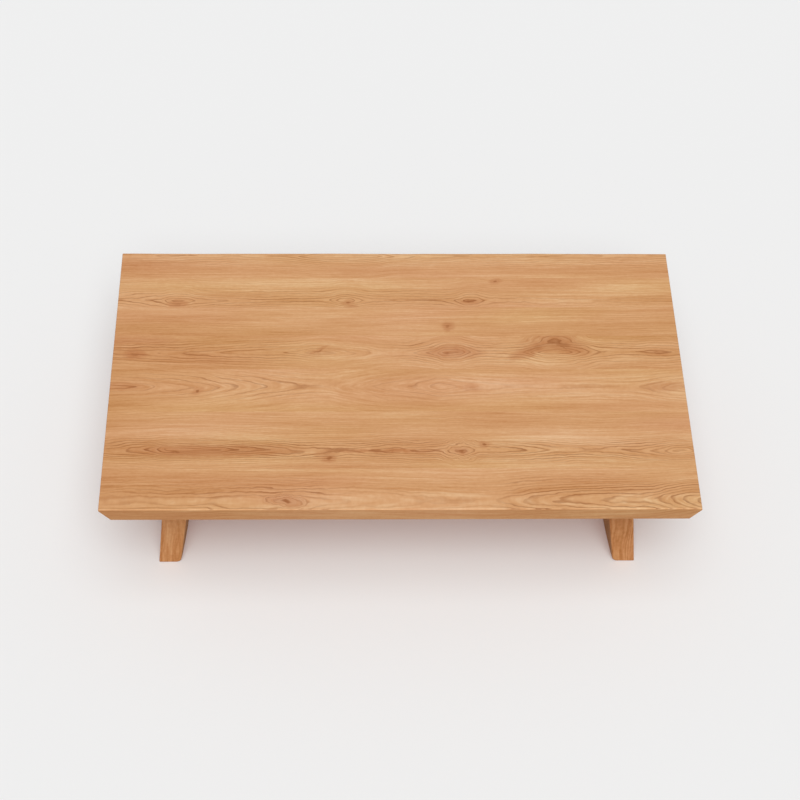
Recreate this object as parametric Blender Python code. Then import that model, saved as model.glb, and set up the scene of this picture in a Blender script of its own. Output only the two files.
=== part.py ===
"""A low solid-wood coffee table: an edge-glued top on two splayed plank legs joined by a stretcher.

Metres, +Z up, +X along the table's length, -Y towards the front. The origin is on the floor, under the
middle of the top.
"""

import math

import bmesh
import bpy
from mathutils import Vector

# Whole table
TOP_LENGTH = 1.200
TOP_DEPTH = 0.750
TABLE_HEIGHT = 0.330

# Fits
JOINT_GAP = 0.0003  # between pieces that touch
CUTTER_REACH = 0.010  # how far a cutter runs out past the face that it opens
UNION_SINK = 0.005  # how deep a tenon or tongue is rooted in the piece that carries it

# Top boards, from the back edge; the board behind the front one is ripped to make up the depth
BACK_BOARD_WIDTHS = (0.080, 0.092, 0.087, 0.100, 0.123)
FRONT_BOARD_WIDTH = 0.110
TOP_THICKNESS = 0.030
END_LIP = 0.004  # upright edge left above the bevel at the short ends
END_BEVEL_RUN = 0.023  # how far the bevel under the short ends runs in
TOP_ARRIS = 0.0025  # rounding of the upper edge at the front and back
LIP_ARRIS = 0.0012
UNDER_ARRIS = 0.0010

# Loose tongues in the edge joints of the top
TONGUE_THICKNESS = 0.005
TONGUE_WIDTH = 0.024
TONGUE_END_STOP = 0.060  # from the end of the top to the end of the tongue
TONGUE_COVER = 0.011  # wood above the tongue

# Cross battens under the top
BATTEN_WIDTH = 0.084
BATTEN_HEIGHT = 0.026
BATTEN_STOP = 0.070  # from the front and back edges of the top
BATTEN_END_CHAMFER = 0.016
BATTEN_ARRIS = 0.002
DOVETAIL_DEPTH = 0.010
DOVETAIL_NECK = 0.050
DOVETAIL_FLARE = 0.004  # how much wider each flank is at the bottom of the groove
PLUG_RECESS = 0.001  # how far the groove plug sits behind the back edge

# Plank legs
LEG_END_SETBACK = 0.0946  # from the end of the top to the outer face, at the floor
LEG_EDGE_SETBACK = 0.1406  # from the front and back edges of the top to the plank
FOOT_THICKNESS = 0.0460
OUTER_SPLAY = math.radians(5.4)
INNER_SPLAY = math.radians(7.7)
LEG_CROWN = 0.015  # how much thicker the plank is at mid depth
STAVE_COUNT = 4
STAVE_STEPS = 3  # straight steps along the crown of one stave
FOOT_ROUND = 0.006  # inner bottom edge
FOOT_ARRIS = 0.001  # outer bottom edge
INNER_ARRIS = 0.003  # upright inner edges at the front and back
OUTER_ARRIS = 0.0015
FOOT_LENGTH = 0.095  # flat length of each foot
RELIEF_RISE = 0.012  # height of the relief between the feet
RELIEF_RUN = 0.018

# Stub tenons from the staves into the battens
STUB_THICKNESS = 0.024
STUB_LENGTH = 0.070
STUB_HEIGHT = 0.021

# Stretcher and its wedged through tenons
STRETCHER_DROP = 0.064  # from the battens down to the stretcher
STRETCHER_HEIGHT = 0.060
STRETCHER_THICKNESS = 0.030
STRETCHER_ARRIS = 0.003
TENON_SHOULDER = 0.008  # above and below the tenon
TENON_CHEEK = 0.005  # on each side of the tenon
TENON_PROUD = 0.004  # how far the tenon stands out of the leg
TENON_ARRIS = 0.001
WEDGE_LENGTH = 0.032
WEDGE_BUTT = 0.0034
WEDGE_TIP = 0.0012
WEDGE_INSET = 0.012  # from the tenon's upper and lower faces to the middle of a wedge

# Felt foot pads
PAD_DIAMETER = 0.026
PAD_THICKNESS = 0.004
PAD_PROUD = 0.001  # how far the pad lifts the foot off the floor
PAD_INSET = 0.042  # from the end of the plank to the middle of the pad

# Faceting
ARRIS_SEGMENTS = 3
ROUND_SIDES = 40
SHARP_ANGLE = math.radians(40)  # edges sharper than this stay sharp on round pieces

# Colours, linear red, green and blue
TOP_COLOUR = (0.62, 0.34, 0.16)
LEG_COLOUR = (0.45, 0.21, 0.085)
HIDDEN_COLOUR = (0.50, 0.27, 0.13)
WEDGE_COLOUR = (0.14, 0.06, 0.03)
FELT_COLOUR = (0.12, 0.10, 0.085)
WOOD_ROUGHNESS = 0.45
RAW_WOOD_ROUGHNESS = 0.65
FELT_ROUGHNESS = 0.95

# Direction of each half along X
SIDES = {"left": -1, "right": 1}

# Levels and places that follow from the sizes above
RIPPED_BOARD_WIDTH = TOP_DEPTH - sum(BACK_BOARD_WIDTHS) - FRONT_BOARD_WIDTH
BOARD_WIDTHS = (*BACK_BOARD_WIDTHS, RIPPED_BOARD_WIDTH, FRONT_BOARD_WIDTH)
UNDERSIDE = TABLE_HEIGHT - TOP_THICKNESS
BATTEN_TOP = UNDERSIDE - JOINT_GAP
BATTEN_BOTTOM = UNDERSIDE - BATTEN_HEIGHT
LEG_TOP = BATTEN_BOTTOM - JOINT_GAP
BATTEN_END = TOP_DEPTH / 2 - BATTEN_STOP
LEG_HALF_DEPTH = TOP_DEPTH / 2 - LEG_EDGE_SETBACK
STAVE_WIDTH = 2 * LEG_HALF_DEPTH / STAVE_COUNT
TENON_HEIGHT = STRETCHER_HEIGHT - 2 * TENON_SHOULDER
TENON_THICKNESS = STRETCHER_THICKNESS - 2 * TENON_CHEEK
STRETCHER_MIDDLE = BATTEN_BOTTOM - STRETCHER_DROP - STRETCHER_HEIGHT / 2


def outer_face(height):
    """Distance of a leg's outer face from the middle of the table."""
    return TOP_LENGTH / 2 - LEG_END_SETBACK - height * math.tan(OUTER_SPLAY)


def inner_face(height, depth):
    """Distance of a leg's inner face from the middle of the table; the face is crowned along the depth."""
    foot = TOP_LENGTH / 2 - LEG_END_SETBACK - FOOT_THICKNESS
    crown = LEG_CROWN * (1 - (depth / LEG_HALF_DEPTH) ** 2)
    return foot - height * math.tan(INNER_SPLAY) - crown


# Battens and stub tenons stand over the middle of the plank's top
BATTEN_MIDDLE = (outer_face(LEG_TOP) + inner_face(LEG_TOP, 0)) / 2


def clear_scene():
    for old in list(bpy.data.objects):
        bpy.data.objects.remove(old, do_unlink=True)


def finish(name, colour, roughness):
    """A plain Principled BSDF material."""
    material = bpy.data.materials.new(name)
    material.use_nodes = True
    shader = material.node_tree.nodes["Principled BSDF"]
    shader.inputs["Base Color"].default_value = (*colour, 1.0)
    shader.inputs["Roughness"].default_value = roughness
    shader.inputs["Metallic"].default_value = 0.0
    material.diffuse_color = (*colour, 1.0)
    return material


def add_object(name, bm, origin):
    """Turn a bmesh, drawn around the origin given, into an object that stands there."""
    bmesh.ops.recalc_face_normals(bm, faces=bm.faces)
    mesh = bpy.data.meshes.new(name)
    bm.to_mesh(mesh)
    bm.free()
    piece = bpy.data.objects.new(name, mesh)
    piece.location = origin
    bpy.context.collection.objects.link(piece)
    return piece


def loft(name, loops, origin=(0, 0, 0), along=(), first=(), last=()):
    """A closed solid skinned over matching loops of points.

    The radii round its edges: along has one for each corner of a loop, for the edge that runs lengthwise from
    it, and first and last have one for each side of the end loops.
    """
    bm = bmesh.new()
    weight = bm.edges.layers.float.new("bevel_weight_edge")
    rings = [[bm.verts.new(Vector(point) - Vector(origin)) for point in loop] for loop in loops]
    corners = range(len(rings[0]))
    after = [(i + 1) % len(corners) for i in corners]
    for ring, following in zip(rings, rings[1:]):
        for i in corners:
            bm.faces.new((ring[i], ring[after[i]], following[after[i]], following[i]))
    bm.faces.new(rings[0])
    bm.faces.new(rings[-1])

    widest = max((*along, *first, *last), default=0)
    if widest:
        for ring, following in zip(rings, rings[1:]):
            for i, radius in enumerate(along):
                bm.edges.get((ring[i], following[i]))[weight] = radius / widest
        for ring, radii in ((rings[0], first), (rings[-1], last)):
            for i, radius in enumerate(radii):
                bm.edges.get((ring[i], ring[after[i]]))[weight] = radius / widest
    piece = add_object(name, bm, origin)
    if widest:
        rounding = piece.modifiers.new("arrises", "BEVEL")
        rounding.limit_method = "WEIGHT"
        rounding.width = widest
        rounding.segments = ARRIS_SEGMENTS
    return piece


def along_y(outline, start, end):
    """Two loops of an (x, z) outline, at the start and end depths."""
    return [[(x, depth, z) for x, z in outline] for depth in (start, end)]


def along_x(outline, start, end):
    """Two loops of a (y, z) outline, at the start and end distances."""
    return [[(distance, y, z) for y, z in outline] for distance in (start, end)]


def rectangle(left, right, low, high):
    return [(left, low), (right, low), (right, high), (left, high)]


def disc(name, radius, low, high, middle):
    """An upright round solid around the middle (x, y)."""
    bm = bmesh.new()
    bmesh.ops.create_cone(
        bm, cap_ends=True, segments=ROUND_SIDES, radius1=radius, radius2=radius, depth=high - low
    )
    return add_object(name, bm, (*middle, (low + high) / 2))


def boolean(piece, tool, operation):
    """Combine a piece with a tool, which is kept only as a hidden guide."""
    tool.hide_render = True
    tool.display_type = "WIRE"
    step = piece.modifiers.new(tool.name, "BOOLEAN")
    step.operation = operation
    step.solver = "EXACT"
    step.object = tool


def cut(piece, tool):
    boolean(piece, tool, "DIFFERENCE")


def grow(piece, tool):
    boolean(piece, tool, "UNION")


def settle(piece, parent, colour, roughness):
    """Give a finished piece its own material and hang it on its sub-assembly."""
    piece.data.materials.append(finish(f"{piece.name}_finish", colour, roughness))
    piece.parent = parent


def assembly(name, parent=None):
    empty = bpy.data.objects.new(name, None)
    bpy.context.collection.objects.link(empty)
    empty.parent = parent
    return empty


def board_edges():
    """Depths of the joints across the top, from the back edge to the front edge."""
    edges = [TOP_DEPTH / 2]
    for width in BOARD_WIDTHS:
        edges.append(edges[-1] - width)
    return edges


def tongue_solid(name, joint, gap):
    """The loose tongue at a joint, or with a gap the groove that holds it."""
    reach = TOP_LENGTH / 2 - TONGUE_END_STOP + gap
    high = TABLE_HEIGHT - TONGUE_COVER
    outline = rectangle(-reach, reach, high - TONGUE_THICKNESS - gap, high + gap)
    half = TONGUE_WIDTH / 2 + gap
    return loft(name, along_y(outline, joint - half, joint + half), (0, joint, high))


def dovetail_outline(middle, gap, low):
    """Section of the sliding dovetail, wider at the bottom of the groove than at its mouth."""
    neck = DOVETAIL_NECK / 2 + gap
    root = neck + DOVETAIL_FLARE
    high = UNDERSIDE + DOVETAIL_DEPTH + gap
    return [
        (middle - neck, low),
        (middle + neck, low),
        (middle + neck, UNDERSIDE),
        (middle + root, high),
        (middle - root, high),
        (middle - neck, UNDERSIDE),
    ]


def make_top_boards(parent, grooves):
    """The boards, with their outer arrises rounded, grooved for the tongues and the battens."""
    half = TOP_LENGTH / 2
    lip = TABLE_HEIGHT - END_LIP
    inset = half - END_BEVEL_RUN
    outline = [
        (-inset, UNDERSIDE),
        (inset, UNDERSIDE),
        (half, lip),
        (half, TABLE_HEIGHT),
        (-half, TABLE_HEIGHT),
        (-half, lip),
    ]
    lengthwise = (UNDER_ARRIS, UNDER_ARRIS, UNDER_ARRIS, LIP_ARRIS, LIP_ARRIS, UNDER_ARRIS)
    outer = (UNDER_ARRIS, UNDER_ARRIS, LIP_ARRIS, TOP_ARRIS, LIP_ARRIS, UNDER_ARRIS)
    edges = board_edges()
    count = len(BOARD_WIDTHS)
    for i in range(count):
        at_back = i == 0
        at_front = i == count - 1
        back = edges[i] - (0 if at_back else JOINT_GAP / 2)
        front = edges[i + 1] + (0 if at_front else JOINT_GAP / 2)
        board = loft(
            f"top_board_{i + 1}",
            along_y(outline, back, front),
            (0, (back + front) / 2, UNDERSIDE),
            along=lengthwise,
            first=outer if at_back else (),
            last=outer if at_front else (),
        )
        for joint in (i, i + 1):
            if 0 < joint < count:
                cut(board, tongue_solid(f"tongue_groove_{i + 1}_{joint}", edges[joint], JOINT_GAP))
        for groove in grooves:
            cut(board, groove)
        settle(board, parent, TOP_COLOUR, WOOD_ROUGHNESS)


def make_tongues(parent):
    for i, joint in enumerate(board_edges()[1:-1], 1):
        tongue = tongue_solid(f"loose_tongue_{i}", joint, 0)
        settle(tongue, parent, HIDDEN_COLOUR, RAW_WOOD_ROUGHNESS)


def make_dovetail_groove(name, side):
    """Cutter for a groove that stops short of the front edge and runs out at the back edge."""
    outline = dovetail_outline(side * BATTEN_MIDDLE, JOINT_GAP, UNDERSIDE - CUTTER_REACH)
    return loft(name, along_y(outline, -BATTEN_END - JOINT_GAP, TOP_DEPTH / 2 + CUTTER_REACH))


def make_groove_plug(parent, name, side):
    """The short dovetail key that closes a groove behind its batten."""
    outline = dovetail_outline(side * BATTEN_MIDDLE, 0, UNDERSIDE)
    outline = [outline[0], outline[1], outline[3], outline[4]]
    back = TOP_DEPTH / 2 - PLUG_RECESS
    plug = loft(name, along_y(outline, BATTEN_END + JOINT_GAP, back), (side * BATTEN_MIDDLE, back, UNDERSIDE))
    settle(plug, parent, TOP_COLOUR, WOOD_ROUGHNESS)


def stave_middle(index):
    """Depth of the middle of a stave, counted from the front."""
    return -LEG_HALF_DEPTH + (index + 0.5) * STAVE_WIDTH


def stub_solid(name, side, index, gap, low):
    """A stave's stub tenon, or with a gap the mortise that takes it."""
    middle = side * BATTEN_MIDDLE
    thick = STUB_THICKNESS / 2 + gap
    outline = rectangle(middle - thick, middle + thick, low, LEG_TOP + STUB_HEIGHT + gap)
    depth = stave_middle(index)
    reach = STUB_LENGTH / 2 + gap
    return loft(name, along_y(outline, depth - reach, depth + reach), (middle, depth, LEG_TOP))


def make_batten(parent, name, side):
    """A batten with chamfered ends, its dovetail tongue and the mortises for the staves."""
    middle = side * BATTEN_MIDDLE
    half = BATTEN_WIDTH / 2
    outline = [
        (-BATTEN_END, BATTEN_TOP),
        (-BATTEN_END, BATTEN_BOTTOM + BATTEN_END_CHAMFER),
        (-BATTEN_END + BATTEN_END_CHAMFER, BATTEN_BOTTOM),
        (BATTEN_END - BATTEN_END_CHAMFER, BATTEN_BOTTOM),
        (BATTEN_END, BATTEN_BOTTOM + BATTEN_END_CHAMFER),
        (BATTEN_END, BATTEN_TOP),
    ]
    sides = (BATTEN_ARRIS,) * (len(outline) - 1) + (0,)
    batten = loft(
        name,
        along_x(outline, middle - half, middle + half),
        (middle, 0, BATTEN_TOP),
        first=sides,
        last=sides,
    )
    section = dovetail_outline(middle, 0, BATTEN_TOP - UNION_SINK)
    grow(batten, loft(f"{name}_dovetail", along_y(section, -BATTEN_END, BATTEN_END)))
    for index in range(STAVE_COUNT):
        low = BATTEN_BOTTOM - CUTTER_REACH
        cut(batten, stub_solid(f"{name}_mortise_{index + 1}", side, index, JOINT_GAP, low))
    settle(batten, parent, HIDDEN_COLOUR, RAW_WOOD_ROUGHNESS)


def stave_loop(side, depth):
    """Section of the plank at a depth: outer foot, outer top, inner top, inner foot."""
    return [
        (side * outer_face(PAD_PROUD), depth, PAD_PROUD),
        (side * outer_face(LEG_TOP), depth, LEG_TOP),
        (side * inner_face(LEG_TOP, depth), depth, LEG_TOP),
        (side * inner_face(PAD_PROUD, depth), depth, PAD_PROUD),
    ]


def make_relief(name, side):
    """Cutter that lifts the plank off the floor between its feet."""
    wide = LEG_HALF_DEPTH - FOOT_LENGTH
    high = PAD_PROUD + RELIEF_RISE
    slope = RELIEF_RUN / RELIEF_RISE
    low = PAD_PROUD - CUTTER_REACH
    flare = wide + CUTTER_REACH * slope
    outline = [(-flare, low), (flare, low), (wide - RELIEF_RUN, high), (RELIEF_RUN - wide, high)]
    near = inner_face(LEG_TOP, 0) - CUTTER_REACH
    far = outer_face(0) + CUTTER_REACH
    return loft(name, along_x(outline, side * near, side * far))


def make_tenon_mortise(name, side):
    """Cutter for the through mortise that the stretcher's tenon passes."""
    thick = TENON_THICKNESS / 2 + JOINT_GAP
    tall = TENON_HEIGHT / 2 + JOINT_GAP
    outline = rectangle(-thick, thick, STRETCHER_MIDDLE - tall, STRETCHER_MIDDLE + tall)
    near = inner_face(LEG_TOP, 0) - CUTTER_REACH
    far = outer_face(0) + CUTTER_REACH
    return loft(name, along_x(outline, side * near, side * far))


def pad_middle(side, end):
    """Place of a foot pad, under the middle of the plank; end is -1 at the front and 1 at the back."""
    depth = end * (LEG_HALF_DEPTH - PAD_INSET)
    return side * (outer_face(0) + inner_face(0, depth)) / 2, depth


def make_leg(parent, name, side):
    """A plank leg of upright staves with stub tenons, a relief between its feet and a through mortise."""
    relief = make_relief(f"{name}_relief", side)
    mortise = make_tenon_mortise(f"{name}_through_mortise", side)
    sockets = []
    for end in (-1, 1):
        middle = pad_middle(side, end)
        radius = PAD_DIAMETER / 2 + JOINT_GAP
        socket = f"{name}_pad_socket_{'front' if end < 0 else 'back'}"
        sockets.append(disc(socket, radius, -CUTTER_REACH, PAD_THICKNESS + JOINT_GAP, middle))
    upright = (OUTER_ARRIS, 0, INNER_ARRIS, FOOT_ARRIS)
    for index in range(STAVE_COUNT):
        middle = stave_middle(index)
        at_front = index == 0
        at_back = index == STAVE_COUNT - 1
        front = middle - STAVE_WIDTH / 2 + (0 if at_front else JOINT_GAP / 2)
        back = middle + STAVE_WIDTH / 2 - (0 if at_back else JOINT_GAP / 2)
        depths = [front + (back - front) * step / STAVE_STEPS for step in range(STAVE_STEPS + 1)]
        stave = loft(
            f"{name}_stave_{index + 1}",
            [stave_loop(side, depth) for depth in depths],
            (side * BATTEN_MIDDLE, middle, 0),
            along=(FOOT_ARRIS, 0, 0, FOOT_ROUND),
            first=upright if at_front else (),
            last=upright if at_back else (),
        )
        grow(stave, stub_solid(f"{name}_stub_{index + 1}", side, index, 0, LEG_TOP - UNION_SINK))
        cut(stave, relief)
        cut(stave, mortise)
        if at_front:
            cut(stave, sockets[0])
        if at_back:
            cut(stave, sockets[1])
        settle(stave, parent, LEG_COLOUR, WOOD_ROUGHNESS)


def tenon_end(height):
    """Distance of the tenon's end from the middle of the table, parallel to the leg's outer face."""
    return outer_face(height) + TENON_PROUD


def wedge_solid(name, side, height, gap):
    """A wedge driven into a tenon's end, or with a gap the kerf that takes it."""
    butt = WEDGE_BUTT / 2 + gap
    tip = WEDGE_TIP / 2 + gap
    inner = tenon_end(height) - WEDGE_LENGTH - gap
    past = CUTTER_REACH if gap else 0
    spread = (butt - tip) * past / WEDGE_LENGTH
    low = height - butt - spread
    high = height + butt + spread
    outline = [
        (side * inner, height - tip),
        (side * (tenon_end(low) + past), low),
        (side * (tenon_end(high) + past), high),
        (side * inner, height + tip),
    ]
    half = TENON_THICKNESS / 2 + past
    return loft(name, along_y(outline, -half, half), (side * inner, 0, height))


def wedge_heights():
    """Heights of the two wedges in each tenon, the upper one first."""
    offset = TENON_HEIGHT / 2 - WEDGE_INSET
    return {"upper": STRETCHER_MIDDLE + offset, "lower": STRETCHER_MIDDLE - offset}


def make_stretcher(parent):
    """The rail between the legs: shoulders cut to the inner faces, tenons through to the outer faces."""
    low = STRETCHER_MIDDLE - STRETCHER_HEIGHT / 2
    high = STRETCHER_MIDDLE + STRETCHER_HEIGHT / 2
    shoulder_low = inner_face(low, 0) - JOINT_GAP
    shoulder_high = inner_face(high, 0) - JOINT_GAP
    outline = [(-shoulder_low, low), (shoulder_low, low), (shoulder_high, high), (-shoulder_high, high)]
    half = STRETCHER_THICKNESS / 2
    arrises = (STRETCHER_ARRIS, 0, STRETCHER_ARRIS, 0)
    stretcher = loft(
        "stretcher", along_y(outline, -half, half), (0, 0, STRETCHER_MIDDLE), first=arrises, last=arrises
    )

    low = STRETCHER_MIDDLE - TENON_HEIGHT / 2
    high = STRETCHER_MIDDLE + TENON_HEIGHT / 2
    end_low = tenon_end(low)
    end_high = tenon_end(high)
    outline = [(-end_low, low), (end_low, low), (end_high, high), (-end_high, high)]
    half = TENON_THICKNESS / 2
    arrises = (0, TENON_ARRIS, 0, TENON_ARRIS)
    tenon = loft(
        "stretcher_tenon",
        along_y(outline, -half, half),
        along=(TENON_ARRIS,) * len(outline),
        first=arrises,
        last=arrises,
    )
    grow(stretcher, tenon)
    for side_name, side in SIDES.items():
        for level, height in wedge_heights().items():
            cut(stretcher, wedge_solid(f"{side_name}_{level}_kerf", side, height, JOINT_GAP))
    settle(stretcher, parent, LEG_COLOUR, WOOD_ROUGHNESS)


def make_wedges(parent, side_name, side):
    for level, height in wedge_heights().items():
        wedge = wedge_solid(f"{side_name}_{level}_wedge", side, height, 0)
        settle(wedge, parent, WEDGE_COLOUR, WOOD_ROUGHNESS)


def make_pads(parent, side_name, side):
    for end_name, end in (("front", -1), ("back", 1)):
        middle = pad_middle(side, end)
        pad = disc(f"{end_name}_{side_name}_foot_pad", PAD_DIAMETER / 2, 0, PAD_THICKNESS, middle)
        pad.data.shade_smooth()
        pad.data.set_sharp_from_angle(angle=SHARP_ANGLE)
        settle(pad, parent, FELT_COLOUR, FELT_ROUGHNESS)


def main():
    clear_scene()
    table = assembly("table")
    top = assembly("top", table)
    grooves = [make_dovetail_groove(f"{name}_dovetail_groove", side) for name, side in SIDES.items()]
    make_top_boards(top, grooves)
    make_tongues(top)
    base = assembly("base", table)
    make_stretcher(base)
    for name, side in SIDES.items():
        leg = assembly(f"{name}_leg", base)
        make_groove_plug(top, f"{name}_groove_plug", side)
        make_batten(base, f"{name}_batten", side)
        make_leg(leg, f"{name}_leg", side)
        make_wedges(base, name, side)
        make_pads(leg, name, side)


main()
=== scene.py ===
"""Looks of a low solid-wood coffee table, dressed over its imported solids.

Metres, +Z up, +X along the table's length, -Y towards the viewer.
"""

import math

import bpy
import numpy as np
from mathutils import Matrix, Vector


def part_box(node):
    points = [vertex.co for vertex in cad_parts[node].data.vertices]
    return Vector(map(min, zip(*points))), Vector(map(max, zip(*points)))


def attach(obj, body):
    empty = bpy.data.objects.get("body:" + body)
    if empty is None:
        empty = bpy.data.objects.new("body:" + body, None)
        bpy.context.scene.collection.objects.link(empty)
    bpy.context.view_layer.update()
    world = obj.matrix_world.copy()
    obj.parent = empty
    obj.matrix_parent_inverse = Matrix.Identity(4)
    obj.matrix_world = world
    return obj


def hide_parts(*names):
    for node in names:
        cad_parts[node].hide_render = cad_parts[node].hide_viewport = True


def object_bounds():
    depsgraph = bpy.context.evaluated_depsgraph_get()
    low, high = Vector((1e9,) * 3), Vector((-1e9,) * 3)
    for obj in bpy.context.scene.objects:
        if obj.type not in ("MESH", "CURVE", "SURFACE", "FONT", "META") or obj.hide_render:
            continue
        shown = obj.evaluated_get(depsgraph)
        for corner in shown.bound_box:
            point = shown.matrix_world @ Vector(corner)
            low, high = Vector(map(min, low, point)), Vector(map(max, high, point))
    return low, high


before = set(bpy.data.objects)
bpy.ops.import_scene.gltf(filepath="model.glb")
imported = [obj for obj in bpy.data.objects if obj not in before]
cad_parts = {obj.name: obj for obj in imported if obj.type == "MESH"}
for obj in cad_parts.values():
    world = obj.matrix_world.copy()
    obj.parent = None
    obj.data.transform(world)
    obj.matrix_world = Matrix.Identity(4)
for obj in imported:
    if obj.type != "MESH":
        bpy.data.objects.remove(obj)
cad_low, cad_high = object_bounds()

MM = 0.001
SIDES = {"left": -1, "right": 1}
X, Y, Z = (1, 0, 0), (0, 1, 0), (0, 0, 1)
FRONTWARD, DOWNWARD = (0, -1, 0), (0, 0, -1)

# Levels and places read from the solids
BOARD_COUNT = 7
HALF_LENGTH = cad_high.x
HALF_DEPTH = cad_high.y
TOP = cad_high.z
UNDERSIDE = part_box("top_board_3")[0].z

# Shape of the boards
JOINT_GAP = 0.3 * MM  # what the solids leave between pieces that touch
HAIRLINE = 0.04 * MM  # what shows of a closed glue joint
END_LIP = 4 * MM
END_BEVEL_RUN = 23 * MM
LIP_ARRIS = 1.2 * MM
UNDER_ARRIS = 1.0 * MM
TOP_ARRIS = 2.5 * MM
TOP_ARRIS_WANDER = 0.5 * MM
ARRIS_WAVES = ((1.0, 13.0, 0.6), (0.6, 29.0, 2.1), (0.4, 57.0, 0.0))  # height, radians per metre and start
JOINT_EASE = 0.2 * MM
DOVETAIL_FLARE = 4 * MM
CLOSED_GROOVE = 0.05 * MM  # what is left of the groove's depth in front of its stop
GROOVE_STOP_STEP = 0.05 * MM

# Shape of the plank legs
LEG_END_SETBACK = 94.6 * MM
LEG_EDGE_SETBACK = 140.6 * MM
FOOT_THICKNESS = 46 * MM
OUTER_SPLAY = math.radians(5.4)
INNER_SPLAY = math.radians(7.7)
LEG_CROWN = 15 * MM
STAVE_COUNT = 4
FOOT_ROUND = 10 * MM
FOOT_ARRIS = 1 * MM
INNER_ARRIS = 3 * MM
OUTER_ARRIS = 1.5 * MM
FOOT_LENGTH = 95 * MM
RELIEF_RISE = 12 * MM
RELIEF_RUN = 18 * MM
LEG_HALF_DEPTH = HALF_DEPTH - LEG_EDGE_SETBACK
FOOT_END = LEG_HALF_DEPTH - FOOT_LENGTH
LEG_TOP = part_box("left_batten")[0].z - JOINT_GAP

# Shape of the felt pads
PAD_PROUD = 1 * MM
PAD_SWELL = 0.9 * MM  # how far the rim stands out between the two faces
PAD_SWELL_POWER = 0.6  # the smaller, the squarer the rim
PAD_FRAY = 0.12 * MM
PAD_FRAY_WAVES = ((17, 0.0), (29, 1.0))  # waves round the rim, and where they start
PAD_FRAY_POWER = 6  # how fast the fraying dies away from the rim
PAD_FACE_RINGS = (0.3, 0.75)  # loops on a face, in parts of the radius

# Steps of the surfaces
ARC_STEPS = 4  # round a corner of a section
EDGE_STEPS = 6  # round the front and back edges of a piece
TOP_STEPS = 150  # along a board's face
BETWEEN_STEPS = 30  # along its underside between the grooves
GROOVE_STEPS = 6  # over a groove, and from there to the end bevel
BEVEL_STEPS = 3
LIP_STEPS = 1
STAVE_STEPS = 16  # up a stave
STAVE_END_STEPS = 3  # across its foot and its top
STAVE_STATIONS = 8  # from its front to its back
PAD_STEPS = 72  # round a pad
PAD_RIM_STEPS = 12  # up its rim


def linear(colour):
    """A hex sRGB colour as linear red, green, blue and full alpha."""
    parts = [int(colour[i : i + 2], 16) / 255 for i in (1, 3, 5)]
    return (*(c / 12.92 if c <= 0.04045 else ((c + 0.055) / 1.055) ** 2.4 for c in parts), 1.0)


def put(tree, kind, inputs=None, out=0, points=(), stops=(), **settings):
    """Add a shader node, set or link its inputs by name or number, and return the output asked for.

    points draws a curve node's curve, and stops lays out a colour ramp.
    """
    node = tree.nodes.new("ShaderNode" + kind)
    for key, value in settings.items():
        setattr(node, key, value)
    for key, value in (inputs or {}).items():
        if isinstance(value, bpy.types.NodeSocket):
            tree.links.new(value, node.inputs[key])
        else:
            node.inputs[key].default_value = value
    if points:
        curve = node.mapping.curves[0]
        for _ in points[2:]:
            curve.points.new(0.5, 0.5)
        for knot, place in zip(curve.points, points):
            knot.location = place
            knot.handle_type = "AUTO_CLAMPED"
        node.mapping.update()
    if stops:
        ramp = node.color_ramp.elements
        for _ in stops[2:]:
            ramp.new(0.5)
        for element, (place, colour) in zip(ramp, stops):
            element.position = place
            element.color = linear(colour)
    return node.outputs[out]


# Surfaces


def rounded_outline(corners, radii, counts):
    """Points, outward normals and growth of an anticlockwise polygon whose corners are turned to arcs.

    An arc's middle lies on the corner's bisector, and each side is cut into even steps between two arcs.
    Growth is how a point moves as the outline grows by one unit: the mitre at a corner, and in between it
    runs evenly.
    """
    corners = np.asarray(corners, float)
    run = np.roll(corners, -1, axis=0) - corners
    run /= np.linalg.norm(run, axis=1, keepdims=True)
    after = np.stack([run[:, 1], -run[:, 0]], axis=1)
    before = np.roll(after, 1, axis=0)
    level = (before * after).sum(axis=1)
    turn = np.arctan2(before[:, 0] * after[:, 1] - before[:, 1] * after[:, 0], level)
    mitre = (before + after) / (1 + level)[:, None]
    start = np.arctan2(before[:, 1], before[:, 0])
    arcs = []
    for i, radius in enumerate(radii):
        angle = start[i] + turn[i] * (np.linspace(0, 1, ARC_STEPS + 1) if radius else np.array([0.5]))
        facing = np.stack([np.cos(angle), np.sin(angle)], axis=1)
        reach = radius * np.sign(turn[i])
        arcs.append((corners[i] + reach * (facing - mitre[i]), facing))
    points, normals, growth = [], [], []
    for i, count in enumerate(counts):
        following = (i + 1) % len(counts)
        part = (np.arange(count)[:, None] + 1) / (count + 1)
        places, facing = arcs[i]
        points += [places, places[-1] + part * (arcs[following][0][0] - places[-1])]
        normals += [facing, np.repeat(after[i][None], count, axis=0)]
        growth += [np.repeat(mitre[i][None], len(places), axis=0)]
        growth += [mitre[i] + part * (mitre[following] - mitre[i])]
    return np.concatenate(points), np.concatenate(normals), np.concatenate(growth)


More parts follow.
